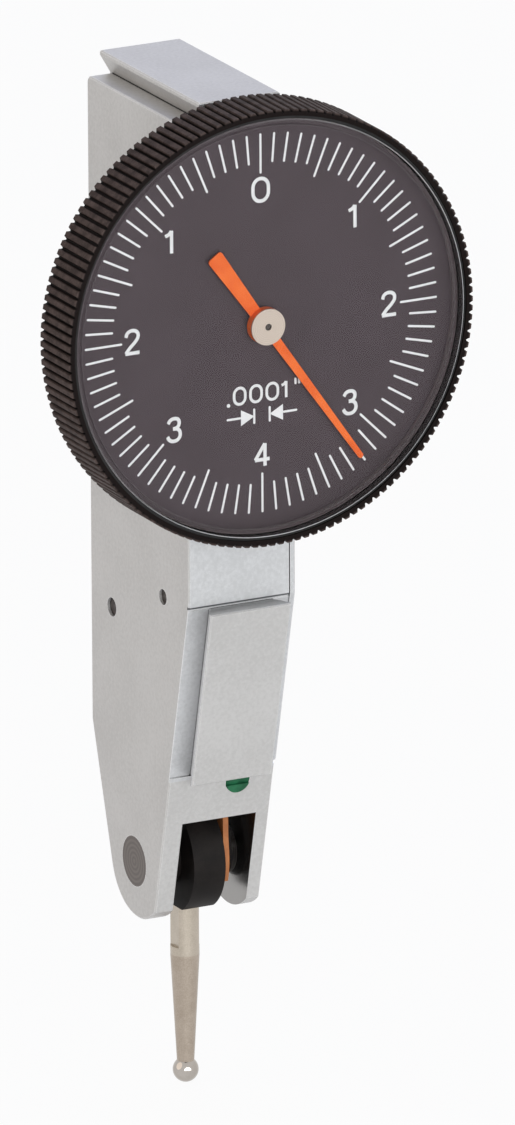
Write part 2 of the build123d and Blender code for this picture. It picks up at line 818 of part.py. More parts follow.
def crystal_gasket():
    # Black ring pressed in round the crystal's edge
    inside = crystal_radius + seat_gap / 2
    return ring(inside, seat_radius - seat_gap / 2, bezel_front + gasket_sunk, crystal_back)


def dial():
    return ring(dial_hole, dial_radius, dial_front, dial_back)


def pointer():
    # Two tapers from the boss, which stands up to carry the hub disc
    half_tail = hand_tail_width / 2
    half_neck = hand_neck_width / 2
    half_root = hand_root_width / 2
    half_tip = hand_tip_width / 2
    tail = make_face(Polyline((-half_tail, -hand_tail), (half_tail, -hand_tail), (half_neck, 0),
                              (-half_neck, 0), close=True))
    tail = fillet(tail.vertices().sort_by(Axis.Y)[:2], hand_tail_corner)
    tip_centre = hand_length - half_tip
    blade = make_face(Polyline((-half_root, 0), (half_root, 0), (half_tip, tip_centre),
                               (-half_tip, tip_centre), close=True))
    blade += Pos(0, tip_centre) * Circle(half_tip)
    placed = Pos(0, dial_height) * Rot(0, 0, -hand_angle) * (tail + blade + Circle(hand_hub_radius))
    hand = extrude(Plane.XZ.offset(-hand_back) * placed, amount=hand_thickness)
    hand += rod_y(hand_hub_radius, disc_back, hand_front)
    return hand - rod_y(centre_arbor_radius + seat_gap, disc_back, hand_back)


def pointer_hub():
    return rod_y(hand_hub_radius, hub_front, disc_back) - rod_y(hand_hub_hole, hub_front, disc_back)


nodes = [housing, side_cover, cover_screws, sealing_screw, pivot_bearings, pivot_pin, contact_hub,
         contact_stem, contact_ball, lever, drive_pin, friction_leaf, leaf_rivet, sector, sector_arbor,
         crown_arbor, crown_wheel, centre_pinion, movement_bridge, bridge_screws, locating_pin,
         pivot_jewels, centre_bridge, hairspring_collet, hairspring, hairspring_stud, centre_bush,
         dial_base, base_screws, retaining_wire, bezel, crystal, crystal_gasket, dial, pointer, pointer_hub]

os.makedirs("parts", exist_ok=True)
for make in nodes:
    made = make()
    shape = Compound(made) if isinstance(made, list) else made
    export_step(shape, f"parts/{make.__name__}.step")
    print(make.__name__, len(shape.solids()), round(shape.volume, 3))
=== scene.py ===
import json
from math import cos, pi, radians, sin
import bpy
from mathutils import Matrix, Vector


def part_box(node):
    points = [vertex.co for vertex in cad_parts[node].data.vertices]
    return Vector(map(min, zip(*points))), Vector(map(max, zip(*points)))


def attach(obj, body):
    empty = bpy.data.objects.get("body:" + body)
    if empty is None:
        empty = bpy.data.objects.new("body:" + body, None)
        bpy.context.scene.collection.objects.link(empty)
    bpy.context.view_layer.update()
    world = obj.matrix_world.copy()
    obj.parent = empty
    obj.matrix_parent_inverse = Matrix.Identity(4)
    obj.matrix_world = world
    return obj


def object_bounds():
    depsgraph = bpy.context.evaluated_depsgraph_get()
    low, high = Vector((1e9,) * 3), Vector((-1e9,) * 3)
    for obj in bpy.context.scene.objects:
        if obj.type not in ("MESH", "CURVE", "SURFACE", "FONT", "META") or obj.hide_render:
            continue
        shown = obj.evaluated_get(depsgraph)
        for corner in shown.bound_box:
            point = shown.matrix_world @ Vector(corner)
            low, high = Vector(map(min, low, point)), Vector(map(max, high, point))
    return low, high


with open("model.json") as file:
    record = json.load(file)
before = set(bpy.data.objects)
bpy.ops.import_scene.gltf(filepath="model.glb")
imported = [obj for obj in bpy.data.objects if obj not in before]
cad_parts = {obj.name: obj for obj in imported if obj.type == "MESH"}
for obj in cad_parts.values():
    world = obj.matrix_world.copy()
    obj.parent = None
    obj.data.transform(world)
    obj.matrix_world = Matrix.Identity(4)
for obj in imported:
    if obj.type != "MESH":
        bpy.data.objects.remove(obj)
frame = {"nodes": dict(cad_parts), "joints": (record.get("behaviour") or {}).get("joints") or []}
cadLow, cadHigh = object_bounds()
nodes = frame["nodes"]
joints = {joint["name"]: joint for joint in frame["joints"]}
scene = bpy.context.scene
mm = 0.001
print("frame loaded:", len(nodes), "nodes")


class Wire:  # a node's output that can stand in a sum
    def __init__(self, tree, socket):
        self.tree = tree
        self.socket = socket

    def node(self, kind, settings, inputs, output=0):
        made = self.tree.nodes.new(kind)
        for name, value in settings.items():
            setattr(made, name, value)
        join(self.tree, made, inputs)
        return Wire(self.tree, made.outputs[output])

    def maths(self, operation, first, second=0.0):
        return self.node("ShaderNodeMath", {"operation": operation}, {0: first, 1: second})

    def __add__(self, other):
        return self.maths("ADD", self, other)

    def __sub__(self, other):
        return self.maths("SUBTRACT", self, other)

    def __rsub__(self, other):
        return self.maths("SUBTRACT", other, self)

    def __mul__(self, other):
        return self.maths("MULTIPLY", self, other)

    def __pow__(self, other):
        return self.maths("POWER", self, other)

    __radd__ = __add__
    __rmul__ = __mul__


def join(tree, made, inputs):  # links wires to a node's sockets and sets plain values
    for name, value in inputs.items():
        if isinstance(value, Wire):
            tree.links.new(value.socket, made.inputs[name])
        else:
            made.inputs[name].default_value = value


def newFinish(name):
    finish = bpy.data.materials.new(name)
    finish.use_nodes = True
    tree = finish.node_tree
    place = Wire(tree, tree.nodes.new("ShaderNodeTexCoord").outputs["Object"])
    return finish, tree, tree.nodes["Principled BSDF"], place


def along(place, axis):  # one coordinate of a place
    return place.node("ShaderNodeSeparateXYZ", {}, {0: place}, output="XYZ".index(axis))


def across(place, axis, centre):  # distance from a line through the centre
    spread = place.node("ShaderNodeVectorMath", {"operation": "SUBTRACT"}, {0: place, 1: tuple(centre)})
    keep = tuple(1.0 - part for part in axis)
    flat = spread.node("ShaderNodeVectorMath", {"operation": "MULTIPLY"}, {0: spread, 1: keep})
    return flat.node("ShaderNodeVectorMath", {"operation": "LENGTH"}, {0: flat}, output=1)


def speckle(place, scale, detail=3.0):
    return place.node("ShaderNodeTexNoise", {}, {"Vector": place, "Scale": scale, "Detail": detail})


def clouding(place, scale):
    return speckle(place, scale, 2.0)


def solid(colour):  # a plain colour gets its alpha
    return colour if isinstance(colour, Wire) else (*colour, 1)


def blend(share, first, second):  # two colours
    inputs = {0: share, 6: solid(first), 7: solid(second)}
    return share.node("ShaderNodeMix", {"data_type": "RGBA"}, inputs, output=2)


def ramp(value, low, high, start=0.0, end=1.0):
    return value.node("ShaderNodeMapRange", {"interpolation_type": "SMOOTHSTEP"},
                      {"Value": value, "From Min": low, "From Max": high, "To Min": start, "To Max": end})


def above(value, limit, soft=0.04):  # 1 from a limit in millimetres on
    return ramp(value, (limit - soft) * mm, limit * mm)


def below(value, limit, soft=0.04):  # 1 up to a limit in millimetres
    return ramp(value, limit * mm, (limit + soft) * mm, 1.0, 0.0)


def bump(height, look):
    return height.node("ShaderNodeBump", {}, {"Strength": look["relief"], "Distance": look["depth"], "Height": height})


def openness(place, reach):  # 1 in the open, towards 0 down in grooves and slots
    return place.node("ShaderNodeAmbientOcclusion", {"samples": 8}, {"Distance": reach * mm}, output=1)


edgeStart, edgeFull = 0.015, 0.10  # lean of the softened normal where an edge begins and where it is full


def sharpness(place, width):  # towards 1 along the edges of a solid
    true = Wire(place.tree, place.tree.nodes.new("ShaderNodeNewGeometry").outputs["Normal"])
    soft = place.node("ShaderNodeBevel", {"samples": 6}, {"Radius": width * mm})
    same = place.node("ShaderNodeVectorMath", {"operation": "DOT_PRODUCT"}, {0: true, 1: soft}, output=1)
    return ramp(1 - same, edgeStart, edgeFull)


def shading(grain, broad, mix):  # fine and broad mottling together
    return ramp(broad * mix["broad"] + grain * mix["fine"], mix["low"], mix["high"])


def roughness(look, grain):
    return look["rough"] + (grain - 0.5) * look["roughSpread"]


def wear(names, finish):
    for name in names:
        nodes[name].data.materials.clear()
        nodes[name].data.materials.append(finish)


# Finishes with a fine grain all over: metals, paints and blackened parts
grainMix = {"broad": 0.7, "fine": 0.3, "low": 0.35, "high": 0.65}
usualGloss = 0.5


def grained(name, look):
    finish, tree, shader, place = newFinish(name)
    grain = speckle(place, look["grain"])
    shade = shading(grain, clouding(place, look["cloud"]), grainMix)
    join(tree, shader, {"Base Color": blend(shade, look["dark"], look["pale"]), "Roughness": roughness(look, grain),
                        "Metallic": look["metal"], "Specular IOR Level": look.get("gloss", usualGloss),
                        "Normal": bump(grain, look)})
    return finish


# Finishes left by a lathe: fine rings round an axis
ringMix = {"broad": 0.55, "fine": 0.45, "low": 0.2, "high": 0.8}


def turned(name, look, axis, centre):
    finish, tree, shader, place = newFinish(name)
    radius = across(place, axis, centre)
    rings = radius.maths("SINE", radius * (2 * pi / look["pitch"])) * 0.5 + 0.5
    grain = speckle(place, look["grain"])
    shade = shading(grain, rings, ringMix)
    join(tree, shader, {"Base Color": blend(shade, look["dark"], look["pale"]), "Roughness": roughness(look, grain),
                        "Metallic": look["metal"], "Normal": bump(rings, look)})
    return finish


# Body: bead-blasted satin chrome with painted light: a highlight along its edges, shade in hollows, in the bend's step
# and inside the fork (smooth there), lighter and cooler on the ground front (smoother there); places are in millimetres
satinChrome = {
    "dark": (0.515, 0.505, 0.492), "pale": (0.590, 0.580, 0.567), "metal": 0.45,
    "rough": 0.42, "roughSpread": 0.12, "leastRough": 0.12, "grain": 9000.0, "mottle": 3200.0, "cloud": 160.0,
    "grainShare": 0.2, "mottleShare": 0.45, "cloudShare": 0.35, "shadeLow": 0.35, "shadeHigh": 0.65,
    "relief": 0.35, "depth": 0.000012, "reliefMottle": 0.6, "reliefGrain": 0.4,
    # edge: colour of a painted highlight along the edges, with its width, share and roughness
    "edge": (0.92, 0.92, 0.92), "edgeHighlightWidth": 0.10, "edgeHighlightShare": 0.85, "edgeRough": 0.16,
    # painted shade, darker down in grooves and slots
    "hollow": (0.10, 0.10, 0.105), "hollowReach": 0.25, "hollowFrom": 0.35, "hollowTo": 0.65,
    # darker inside the fork as painted shade; smoother and more metallic there too
    "fork": {"left": -3.35, "right": 3.65, "top": -64.93, "tone": (0.24, 0.232, 0.225), "share": 0.8, "rough": 0.20},
    # painted shadow: a dark line in the step where the front face bends
    "step": {"height": -44.27, "half": 0.09, "fade": 0.054, "front": -8.9, "frontFade": 0.1, "right": 4.5,
             "tone": (0.05, 0.05, 0.055), "share": 0.9},
    # painted light: the front faces lighter and cooler for the bluish light they catch; they are also smoother
    "ground": {"dark": (0.545, 0.549, 0.555), "pale": (0.645, 0.650, 0.658), "rough": 0.36,
               "face": -9.22, "faceLow": -44.20, "planeY": -9.24, "planeZ": -44.25, "slant": 13.3, "low": -60.7,
               "lowFade": 0.05, "riseFrom": -0.20, "fromFade": 0.10, "riseTo": 1.58, "toFade": 0.08},
}


def insideFork(x, z, look):
    return above(x, look["left"]) * below(x, look["right"]) * below(z, look["top"])


def alongStep(x, y, z, look):  # painted shadow along the small step cut where the front face bends
    line = below(z.maths("ABSOLUTE", z - look["height"] * mm), look["half"], look["fade"])
    return line * below(y, look["front"], look["frontFade"]) * below(x, look["right"]) * look["share"]


def onFrontFaces(y, z, look):  # the upright front face and the slanted one, apart from the dovetail's land
    slant = radians(look["slant"])
    rise = (y - look["planeY"] * mm) * -cos(slant) - (z - look["planeZ"] * mm) * sin(slant)
    slanted = above(rise, look["riseFrom"], look["fromFade"]) * below(rise, look["riseTo"], look["toFade"])
    slanted = slanted * above(z, look["low"], look["lowFade"])
    upright = below(y, look["face"]) * above(z, look["faceLow"], look["lowFade"])
    return slanted.maths("MAXIMUM", slanted, upright)


def bodyFinish(look):
    finish, tree, shader, place = newFinish("satinChrome")
    x, y, z = (along(place, axis) for axis in "XYZ")
    grain = speckle(place, look["grain"])
    mottle = clouding(place, look["mottle"])
    cloud = clouding(place, look["cloud"])
    mixed = cloud * look["cloudShare"] + mottle * look["mottleShare"] + grain * look["grainShare"]
    shade = ramp(mixed, look["shadeLow"], look["shadeHigh"])
    fork = insideFork(x, z, look["fork"])
    step = alongStep(x, y, z, look["step"])
    ground = onFrontFaces(y, z, look["ground"])
    edge = sharpness(place, look["edgeHighlightWidth"]) * look["edgeHighlightShare"]
    hollow = ramp(openness(place, look["hollowReach"]), look["hollowFrom"], look["hollowTo"])
    tone = blend(shade, look["dark"], look["pale"])
    # painted light: lighter and cooler tone on the front faces
    tone = blend(ground, tone, blend(shade, look["ground"]["dark"], look["ground"]["pale"]))
    # painted highlight along the edges
    tone = blend(edge, tone, look["edge"])
    # painted shade inside the fork
    tone = blend(fork * look["fork"]["share"], tone, look["fork"]["tone"])
    # painted shade in grooves and slots
    tone = blend(hollow, look["hollow"], tone)
    # painted shadow in the step
    tone = blend(step, tone, look["step"]["tone"])
    rough = roughness(look, grain) + ground * (look["ground"]["rough"] - look["rough"])
    rough = rough + fork * (look["fork"]["rough"] - look["rough"]) + edge * (look["edgeRough"] - look["rough"])
    bright = 1 - (1 - fork) * (1 - edge)
    join(tree, shader, {"Base Color": tone, "Roughness": rough.maths("MAXIMUM", rough, look["leastRough"]),
                        "Metallic": look["metal"] + bright * (1 - look["metal"]),
                        "Normal": bump(mottle * look["reliefMottle"] + grain * look["reliefGrain"], look)})
    return finish


wear(["housing", "side_cover"], bodyFinish(satinChrome))

screwSteel = {"dark": (0.22, 0.215, 0.21), "pale": (0.31, 0.305, 0.295), "grain": 6000.0, "cloud": 500.0,
              "rough": 0.30, "roughSpread": 0.12, "metal": 1.0, "relief": 0.3, "depth": 0.000005}
wear(["cover_screws", "base_screws", "bridge_screws"], grained("screwSteel", screwSteel))

groundPin = {"dark": (0.42, 0.41, 0.40), "pale": (0.55, 0.54, 0.52), "grain": 8000.0, "cloud": 700.0,
             "rough": 0.22, "roughSpread": 0.10, "metal": 1.0, "relief": 0.2, "depth": 0.000004}
wear(["pivot_pin", "drive_pin", "leaf_rivet", "crown_arbor"], grained("groundPin", groundPin))

greyPlug = {"dark": (0.118, 0.102, 0.094), "pale": (0.165, 0.142, 0.130), "grain": 7000.0, "pitch": 0.00042,
            "rough": 0.42, "roughSpread": 0.12, "metal": 0.85, "relief": 0.35, "depth": 0.000008}
wear(["pivot_bearings"], turned("greyPlug", greyPlug, (1, 0, 0), joints["point_swivel"]["pos_m"]))

darkPin = {"dark": (0.045, 0.037, 0.034), "pale": (0.075, 0.062, 0.057), "grain": 7000.0, "pitch": 0.00042,
           "rough": 0.45, "roughSpread": 0.12, "metal": 0.7, "relief": 0.35, "depth": 0.000008}
pinLow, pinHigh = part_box("locating_pin")
wear(["locating_pin"], turned("darkPin", darkPin, (1, 0, 0), (pinLow + pinHigh) / 2))
wear(["sector_arbor"], turned("darkArbor", darkPin, (1, 0, 0), joints["sector_swing"]["pos_m"]))
wear(["centre_pinion"], turned("darkCentre", darkPin, (0, 1, 0), joints["hand_spin"]["pos_m"]))

greenLacquer = {"dark": (0.008, 0.085, 0.036), "pale": (0.018, 0.150, 0.064), "grain": 3000.0, "cloud": 1200.0,
                "rough": 0.35, "roughSpread": 0.20, "metal": 0.0, "gloss": 0.25, "relief": 0.6, "depth": 0.00004}
wear(["sealing_screw"], grained("greenLacquer", greenLacquer))
print("body dressed")

# Contact point
blackHub = {"dark": (0.0060, 0.0046, 0.0042), "pale": (0.0120, 0.0094, 0.0084), "grain": 5000.0, "cloud": 600.0,
            "rough": 0.55, "roughSpread": 0.15, "metal": 0.0, "gloss": 0.14, "relief": 0.4, "depth": 0.00001}
wear(["contact_hub", "lever"], grained("blackHub", blackHub))

copperLeaf = {"dark": (0.33, 0.115, 0.036), "pale": (0.42, 0.155, 0.052), "grain": 6000.0, "cloud": 900.0,
              "rough": 0.50, "roughSpread": 0.12, "metal": 0.4, "relief": 0.3, "depth": 0.000008}
wear(["friction_leaf"], grained("copperLeaf", copperLeaf))

stemSteel = {"neckDark": (0.425, 0.374, 0.308), "neckPale": (0.535, 0.476, 0.405),
             "coneDark": (0.36, 0.300, 0.245), "conePale": (0.47, 0.405, 0.340), "shoulder": -78.46, "soften": 0.12,
             "grain": 9000.0, "cloud": 900.0, "mix": {"broad": 0.35, "fine": 0.65, "low": 0.25, "high": 0.75},
             "rough": 0.32, "roughSpread": 0.14, "metal": 1.0, "relief": 0.2, "depth": 0.000005}


def stemFinish(look):  # bright neck, browner cone below the shoulder
    finish, tree, shader, place = newFinish("stemSteel")
    grain = speckle(place, look["grain"])
    shade = shading(grain, clouding(place, look["cloud"]), look["mix"])
    neck = blend(shade, look["neckDark"], look["neckPale"])
    cone = blend(shade, look["coneDark"], look["conePale"])
    tone = blend(above(along(place, "Z"), look["shoulder"], look["soften"]), cone, neck)
    join(tree, shader, {"Base Color": tone, "Roughness": roughness(look, grain), "Metallic": look["metal"],
                        "Normal": bump(grain, look)})
    return finish


wear(["contact_stem"], stemFinish(stemSteel))

polishedBall = {"dark": (0.42, 0.385, 0.35), "pale": (0.48, 0.445, 0.41), "grain": 9000.0, "cloud": 900.0,
                "rough": 0.07, "roughSpread": 0.04, "metal": 1.0, "relief": 0.05, "depth": 0.000003}
wear(["contact_ball"], grained("polishedBall", polishedBall))
print("contact point dressed")

# Movement
clockBrass = {"dark": (0.55, 0.39, 0.17), "pale": (0.72, 0.54, 0.26), "grain": 6000.0, "cloud": 400.0,
              "rough": 0.28, "roughSpread": 0.14, "metal": 1.0, "relief": 0.3, "depth": 0.000006}
wear(["sector", "crown_wheel", "movement_bridge", "centre_bridge", "centre_bush", "hairspring_collet",
      "hairspring_stud"], grained("clockBrass", clockBrass))

blueSpring = {"dark": (0.10, 0.12, 0.22), "pale": (0.20, 0.22, 0.32), "grain": 7000.0, "cloud": 800.0,
              "rough": 0.25, "roughSpread": 0.10, "metal": 1.0, "relief": 0.2, "depth": 0.000004}
wear(["hairspring", "retaining_wire"], grained("blueSpring", blueSpring))

rubyJewel = {"dark": (0.30, 0.008, 0.03), "pale": (0.45, 0.015, 0.05), "grain": 4000.0, "cloud": 900.0,
             "rough": 0.10, "roughSpread": 0.05, "metal": 0.0, "relief": 0.1, "depth": 0.000004}
wear(["pivot_jewels"], grained("rubyJewel", rubyJewel))

greyBase = {"dark": (0.030, 0.029, 0.029), "pale": (0.045, 0.043, 0.042), "grain": 6000.0, "cloud": 300.0,
            "rough": 0.45, "roughSpread": 0.12, "metal": 0.0, "relief": 0.3, "depth": 0.000008}
wear(["dial_base"], grained("greyBase", greyBase))
print("movement dressed")

# Bezel: black anodised, browner where fingers rub the tops of the ridges, paler on the wall before the dial
dialLow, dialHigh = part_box("dial")
dialCentre = (dialLow + dialHigh) / 2
blackBezel = {"dark": (0.0080, 0.0056, 0.0052), "pale": (0.0140, 0.0100, 0.0094), "worn": (0.096, 0.0700, 0.0635),
              # painted shade in the grooves between the ridges
              "wornFull": 19.0, "wornFade": 0.18, "wornLeast": 0.35, "hollow": (0.003, 0.0021, 0.0020),
              "hollowReach": 0.35, "hollowFrom": 0.25, "hollowTo": 0.8, "wall": (0.190, 0.153, 0.160),
              "wallOuter": 18.10, "wallOuterFade": 0.05, "wallBackFade": 0.1, "gloss": 0.035, "grain": 7000.0,
              "cloud": 1100.0, "mix": {"broad": 0.6, "fine": 0.4, "low": 0.32, "high": 0.68}, "rough": 0.52,
              "roughSpread": 0.14, "relief": 0.4, "depth": 0.00001}


def bezelFinish(look):
    finish, tree, shader, place = newFinish("blackBezel")
    grain = speckle(place, look["grain"])
    patches = shading(grain, clouding(place, look["cloud"]), look["mix"])
    radius = across(place, (0, 1, 0), dialCentre)
    rub = above(radius, look["wornFull"], look["wornFade"]) * (look["wornLeast"] + patches * (1 - look["wornLeast"]))
    hollow = ramp(openness(place, look["hollowReach"]), look["hollowFrom"], look["hollowTo"])
    outside = above(radius, look["wallOuter"], look["wallOuterFade"])
    behind = above(along(place, "Y"), dialLow.y / mm + look["wallBackFade"], look["wallBackFade"])
    tone = blend(rub, blend(grain, look["dark"], look["pale"]), look["worn"])
    # painted shade in the grooves
    tone = blend(hollow, look["hollow"], tone)
    tone = blend(outside.maths("MAXIMUM", outside, behind), look["wall"], tone)
    join(tree, shader, {"Base Color": tone, "Roughness": roughness(look, grain), "Specular IOR Level": look["gloss"],
                        "Normal": bump(grain, look)})
    return finish


wear(["bezel"], bezelFinish(blackBezel))

gasketRubber = {"dark": (0.010, 0.010, 0.010), "pale": (0.020, 0.019, 0.019), "grain": 4000.0, "cloud": 500.0,
                "rough": 0.70, "roughSpread": 0.15, "metal": 0.0, "gloss": 0.3, "relief": 0.4, "depth": 0.00001}
wear(["crystal_gasket"], grained("gasketRubber", gasketRubber))

charcoalDial = {"dark": (0.0695, 0.0515, 0.0585), "pale": (0.0770, 0.0575, 0.0655), "grain": 14000.0, "cloud": 200.0,
                "rough": 0.62, "roughSpread": 0.08, "metal": 0.0, "gloss": 0.15, "relief": 0.08, "depth": 0.000004}
wear(["dial"], grained("charcoalDial", charcoalDial))

orangeHand = {"dark": (0.88, 0.130, 0.012), "pale": (0.98, 0.182, 0.023), "grain": 5000.0, "cloud": 700.0,
              "rough": 0.45, "roughSpread": 0.12, "metal": 0.0, "gloss": 0.3, "relief": 0.2, "depth": 0.000006}
wear(["pointer"], grained("orangeHand", orangeHand))

silverDisc = {"dark": (0.505, 0.428, 0.366), "pale": (0.61, 0.523, 0.45), "grain": 6000.0, "pitch": 0.00016,
              "rough": 0.36, "roughSpread": 0.10, "metal": 0.9, "relief": 0.3, "depth": 0.000005}
wear(["pointer_hub"], turned("silverDisc", silverDisc, (0, 1, 0), dialCentre))

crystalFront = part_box("crystal")[0].y
clearCrystal = {"rough": 0.03, "haze": 2500.0, "hazeLow": 0.3, "hazeHigh": 0.7, "hazeRough": 0.03,
                "tint": (0.985, 0.985, 0.985), "shine": (0.9, 0.9, 0.9), "glance": 0.010, "glancePower": 5.0,
                "rimFull": 17.59, "rimFade": 0.06, "rimDepth": 0.3, "rimReflectionTone": (0.135, 0.108, 0.114), "rimVeil": 0.25,
                "edgeFull": 18.13, "bevel": 0.12, "bevelFade": 0.018, "edgeRough": 0.5, "edgeVeil": 2.4,
                "edgePower": 2.0}


def crystalFinish(look):  # clear in the middle, a painted reflection, lighter and brownish, in the deeper rim, a bright line where the bevel is ground
    finish, tree, shader, place = newFinish("clearCrystal")
    haze = ramp(speckle(place, look["haze"]), look["hazeLow"], look["hazeHigh"])
    clear = place.node("ShaderNodeBsdfTransparent", {}, {"Color": solid(look["tint"])})
    slant = place.node("ShaderNodeLayerWeight", {}, {"Blend": 0.5}, output=1)
    radius = across(place, (0, 1, 0), dialCentre)
    depth = along(place, "Y") - crystalFront
    edge = above(radius, look["edgeFull"]) * below(depth, look["bevel"], look["bevelFade"])
    rim = above(radius, look["rimFull"], look["rimFade"]) * above(depth, look["rimDepth"], look["rimFade"]) * (1 - edge)
    # the deeper rim takes a painted reflection tone
    join(tree, shader, {"Base Color": blend(rim, look["shine"], look["rimReflectionTone"]),
                        "Roughness": look["rough"] + haze * look["hazeRough"] + edge * look["edgeRough"],
                        "Metallic": (1 - rim) * (1 - edge)})
    share = look["glance"] + slant ** look["glancePower"] + rim * look["rimVeil"]
    share = share + edge * slant ** look["edgePower"] * look["edgeVeil"]
    share = share.maths("MINIMUM", share, 1.0)
    both = place.node("ShaderNodeMixShader", {}, {0: share, 1: clear, 2: Wire(tree, shader.outputs[0])})
    join(tree, tree.nodes["Material Output"], {"Surface": both})
    return finish


wear(["crystal"], crystalFinish(clearCrystal))
print("dial side dressed")

# White printing on the dial, a thin film that stands on its face; places are from the dial's centre
whitePrint = {"dark": (0.88, 0.875, 0.87), "pale": (0.94, 0.935, 0.93), "grain": 6000.0, "cloud": 900.0,
              "rough": 0.55, "roughSpread": 0.10, "metal": 0.0, "gloss": 0.3, "relief": 0.1, "depth": 0.000004}
printFinish = grained("whitePrint", whitePrint)
printFilm = 0.03 * mm
barEnds = {"round": 0.45, "segments": 3}  # share of the shorter side that is rounded off


def letGo():
    bpy.ops.object.select_all(action="DESELECT")


def settle(piece, name):  # its place goes into the mesh
    letGo()
    piece.select_set(True)
    bpy.context.view_layer.objects.active = piece
    bpy.ops.object.transform_apply(location=True, rotation=True, scale=True)
    piece.name = name
    piece.data.name = name
    return piece


def onDial(x, z, depth=0.0):
    return (dialCentre.x + x * mm, dialLow.y - depth, dialCentre.z + z * mm)


def flatPlate(x, z, width, height, name):
    letGo()
    bpy.ops.mesh.primitive_plane_add(size=1.0, location=onDial(x, z), rotation=(pi / 2, 0, 0))
    plate = bpy.context.object
    plate.scale = (width * mm, height * mm, 1)
    return settle(plate, name)


def faceOutward():
    bpy.ops.object.mode_set(mode="EDIT")
    bpy.ops.mesh.select_all(action="SELECT")
    bpy.ops.mesh.normals_make_consistent(inside=False)
    bpy.ops.object.mode_set(mode="OBJECT")


def raiseFilm():  # gives a flat outline its film of paint, toward the front
    bpy.ops.object.mode_set(mode="EDIT")
    bpy.ops.mesh.select_all(action="SELECT")
    bpy.ops.mesh.extrude_region_move(TRANSFORM_OT_translate={"value": (0, -printFilm, 0)})
    faceOutward()


def roundEndedBar(x, z, width, height, name):
    bar = flatPlate(x, z, width, height, name)
    bpy.ops.object.mode_set(mode="EDIT")
    bpy.ops.mesh.select_all(action="SELECT")
    bpy.ops.mesh.bevel(affect="VERTICES", offset=barEnds["round"] * min(width, height) * mm,
                       segments=barEnds["segments"])
    bpy.ops.object.mode_set(mode="OBJECT")
    raiseFilm()
    return bar


def joined(pieces, name):
    letGo()
    for piece in pieces:
        piece.select_set(True)
    bpy.context.view_layer.objects.active = pieces[0]
    if len(pieces) > 1:
        bpy.ops.object.join()
    return settle(bpy.context.object, name)


def printed(piece):
    piece.data.materials.clear()
    piece.data.materials.append(printFinish)
    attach(piece, "bezel")


marks = {"count": 80, "longEvery": 5, "outer": 16.6, "longInner": 13.1, "shortInner": 14.0, "width": 0.19}


def dialMarks(plan):
    made = []
    for number in range(plan["count"]):
        inner = plan["shortInner"] if number % plan["longEvery"] else plan["longInner"]
        height = plan["outer"] - inner
        bar = roundEndedBar(0, inner + height / 2, plan["width"], height, "mark")
        turn = Matrix.Rotation(2 * pi * number / plan["count"], 4, "Y")
        bar.data.transform(Matrix.Translation(dialCentre) @ turn @ Matrix.Translation(-dialCentre))
        made.append(bar)
    return joined(made, "dial_marks")


printed(dialMarks(marks))
print("marks printed:", marks["count"])

# Centre lines of the figures, two high about their middle: round, closed or sharp strokes
strokes = {
    "0": [("closed", [(0, 1), (0.57, 0.72), (0.74, 0), (0.57, -0.72),
                      (0, -1), (-0.57, -0.72), (-0.74, 0), (-0.57, 0.72)])],
    "1": [("sharp", [(0.28, 1), (0.28, -1)]),
          ("round", [(0.26, 0.98), (0.06, 0.72), (-0.32, 0.55)])],
    "2": [("round", [(-0.6, 0.45), (-0.47, 0.8), (0, 1), (0.47, 0.8),
                     (0.55, 0.42), (0.3, 0), (-0.2, -0.48), (-0.62, -0.98)]),
          ("sharp", [(-0.66, -1), (0.68, -1)])],
    "3": [("round", [(-0.56, 0.6), (-0.32, 0.9), (0.02, 1), (0.4, 0.88), (0.5, 0.52), (0.3, 0.18), (-0.08, 0.1)]),
          ("round", [(-0.08, 0.1), (0.38, 0.02), (0.6, -0.42), (0.42, -0.84), (0, -1), (-0.4, -0.88), (-0.62, -0.55)])],
    "4": [("sharp", [(0.24, -1), (0.24, 1)]),
          ("sharp", [(0.22, 0.98), (-0.7, -0.42)]),
          ("sharp", [(-0.72, -0.42), (0.68, -0.42)])],
}
penShape = {"alongSteps": 6, "roundSteps": 2}


def penStroke(kind, points, pen):  # a bent rod along the centre line, flattened later into a film
    letGo()
    bpy.ops.curve.primitive_bezier_curve_add()
    curve = bpy.context.object
    line = curve.data.splines[0]
    line.bezier_points.add(len(points) - 2)
    for knot, (x, y) in zip(line.bezier_points, points):
        knot.co = (x, y, 0)
        knot.handle_left_type = knot.handle_right_type = "VECTOR" if kind == "sharp" else "AUTO"
    line.use_cyclic_u = kind == "closed"
    curve.data.resolution_u = penShape["alongSteps"]
    curve.data.bevel_depth = pen / 2
    curve.data.bevel_resolution = penShape["roundSteps"]
    curve.data.use_fill_caps = True
    bpy.ops.object.convert(target="MESH")
    return bpy.context.object


def figure(text, x, z, height, pen, name):
    half = (height - pen) / 2
    made = [penStroke(kind, points, pen / half) for kind, points in strokes[text]]
    lay = Matrix.Diagonal((half * mm, printFilm / (pen / half), half * mm, 1)) @ Matrix.Rotation(pi / 2, 4, "X")
    for piece in made:
        piece.data.transform(Matrix.Translation(onDial(x, z, printFilm / 2)) @ lay)
    word = joined(made, name)
    faceOutward()
    return word


numerals = {"height": 2.3, "pen": 0.33,
            "places": [("0", 0, 11.68), ("1", 8.6, 8.15), ("2", 12.05, 0.02), ("3", 8.3, -8.12),
                       ("4", 0.03, -11.55), ("3", -8.3, -8.18), ("2", -12.15, 0.08), ("1", -8.68, 8.28)]}


def dialNumerals(plan):
    made = [figure(text, x, z, plan["height"], plan["pen"], "numeral") for text, x, z in plan["places"]]
    return joined(made, "dial_numerals")


printed(dialNumerals(numerals))
print("numerals printed")

